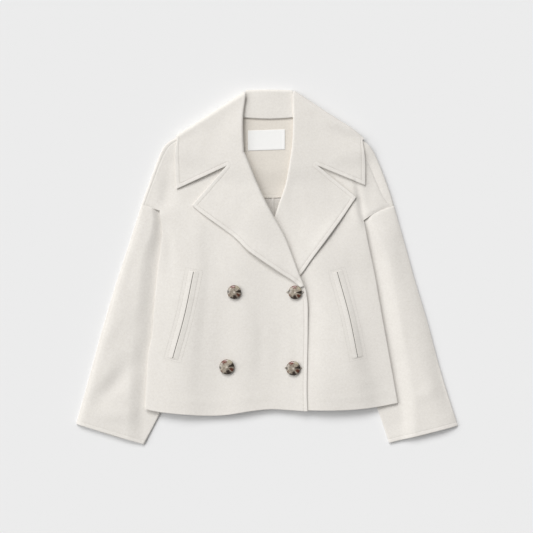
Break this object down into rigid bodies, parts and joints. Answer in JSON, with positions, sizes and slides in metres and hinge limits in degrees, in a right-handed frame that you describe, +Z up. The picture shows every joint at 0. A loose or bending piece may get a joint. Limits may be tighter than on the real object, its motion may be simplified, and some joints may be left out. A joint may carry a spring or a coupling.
{
  "type": "double breasted blazer",
  "caption": "Short oversized double breasted wool jacket laid flat, with a wide collar, wide lapels, slanted welt pockets and domed buttons",
  "frame": {"origin": "bottom centre of the bounding box, on the surface that the jacket lies on", "axes": "+X across the jacket to the viewer's right, which is the wearer's left, +Y from the hem to the neck, +Z up from the surface, out of the front"},
  "size_m": [0.7652, 0.7107, 0.0261],
  "materials": {
    "wool": "brushed melange wool",
    "wool_inside": "brushed melange wool, the facing cut from the same cloth",
    "lining": "satin lining",
    "label": "blank woven label",
    "horn": "polished mottled horn look"
  },
  "bodies": {
    "root": {"back": "wool", "back_neck_facing": "wool_inside", "back_lining": "lining", "neck_label": "label", "collar": "wool", "collar_stand": "wool", "front_right": "wool", "lapel_right": "wool", "sleeve_right": "wool", "pocket_right_front_welt": "wool", "pocket_right_back_welt": "wool", "front_left": "wool", "lapel_left": "wool", "sleeve_left": "wool", "pocket_left_front_welt": "wool", "pocket_left_back_welt": "wool", "button_1": "horn", "button_2": "horn", "button_3": "horn", "button_4": "horn"}
  },
  "joints": []
}
